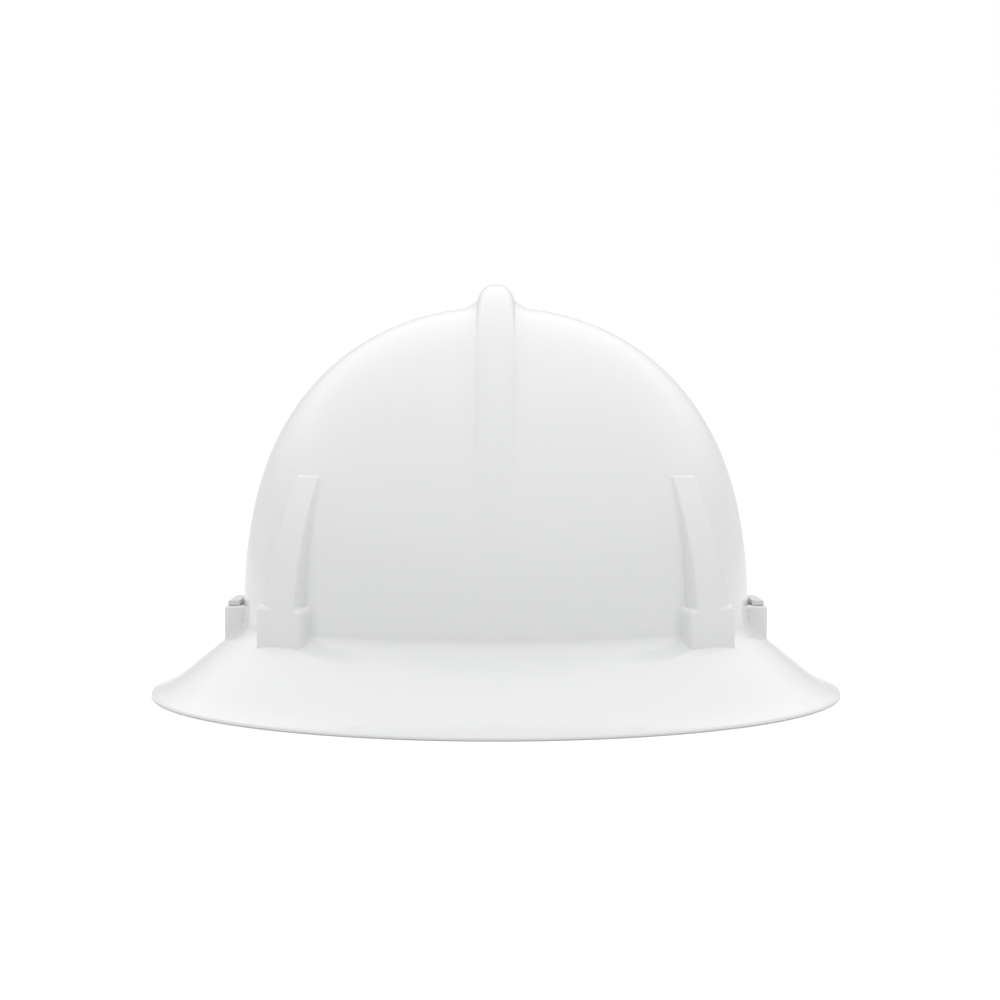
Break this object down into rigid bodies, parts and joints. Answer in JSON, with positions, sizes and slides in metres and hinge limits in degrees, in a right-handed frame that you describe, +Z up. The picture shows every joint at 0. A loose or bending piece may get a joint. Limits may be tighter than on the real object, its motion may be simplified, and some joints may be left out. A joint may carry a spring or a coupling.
{
  "type": "full brim hard hat",
  "caption": "White full brim safety helmet: moulded shell with a central crest, strap suspension, headband and a turn-knob nape adjuster.",
  "frame": {"origin": "middle of the plane that the brim edge stands on", "axes": "+Z up, the front of the hat faces -Y, +X is the wearer's left"},
  "size_m": [0.2862, 0.3302, 0.1695],
  "materials": {
    "shell_plastic": "moulded white polyethylene with a clear gloss",
    "plug_rubber": "matt light grey elastomer",
    "key_plastic": "grey nylon, lightly grained",
    "band_plastic": "dark grey flexible plastic, satin",
    "rack_plastic": "dark grey flexible plastic, satin",
    "strap_fabric": "woven webbing",
    "pad_fabric": "soft knitted cover over foam",
    "housing_plastic": "black plastic, fine grain",
    "knob_plastic": "black plastic, satin",
    "gear_plastic": "natural acetal",
    "pin_plastic": "grey nylon",
    "screw_steel": "zinc plated"
  },
  "bodies": {
    "root": {"shell": "shell_plastic", "front_key_left": "key_plastic", "front_key_right": "key_plastic", "rear_key_left": "key_plastic", "rear_key_right": "key_plastic", "crown_strap_lower": "strap_fabric", "crown_strap_upper": "strap_fabric", "crown_pad": "pad_fabric", "headband": "band_plastic", "brow_pad": "pad_fabric", "nape_pivot_left": "pin_plastic", "nape_pivot_right": "pin_plastic"},
    "nape_carriage": {"nape_arm_left": "band_plastic", "nape_arm_right": "band_plastic", "ratchet_housing_base": "housing_plastic", "ratchet_housing_cover": "housing_plastic", "nape_pad": "pad_fabric"},
    "knob": {"adjuster_knob": "knob_plastic", "pinion": "gear_plastic", "ratchet_pawl": "gear_plastic", "knob_screw": "screw_steel"},
    "left_rack": {"rack_left": "rack_plastic"},
    "right_rack": {"rack_right": "rack_plastic"},
    "left_plug": {"slot_plug_left": "plug_rubber"},
    "right_plug": {"slot_plug_right": "plug_rubber"}
  },
  "joints": [
    {"name": "nape_swing", "type": "hinge", "parent": "root", "child": "nape_carriage", "pos_m": [0, 0.004, 0.019], "axis": [1, 0, 0], "range_deg": [-20, 3]},
    {"name": "knob_turn", "type": "hinge", "parent": "nape_carriage", "child": "knob", "pos_m": [0, 0.1, 0.019], "axis": [0, -1, 0], "range_deg": [-350, 170]},
    {"name": "rack_left_slide", "type": "hinge", "parent": "nape_carriage", "child": "left_rack", "pos_m": [0, 0.014, 0.019], "axis": [0, 0, 1], "range_deg": [-22, 10.8]},
    {"name": "rack_right_slide", "type": "hinge", "parent": "nape_carriage", "child": "right_rack", "pos_m": [0, 0.014, 0.019], "axis": [0, 0, 1], "range_deg": [-10.8, 22]},
    {"name": "plug_left_lift", "type": "slide", "parent": "root", "child": "left_plug", "axis": [0, 0, 1], "range_m": [0, 0.012]},
    {"name": "plug_right_lift", "type": "slide", "parent": "root", "child": "right_plug", "axis": [0, 0, 1], "range_m": [0, 0.012]}
  ],
  "couplings": [
    {"joint": "rack_left_slide", "follows": "knob_turn", "ratio": 0.06194},
    {"joint": "rack_right_slide", "follows": "knob_turn", "ratio": -0.06194}
  ]
}
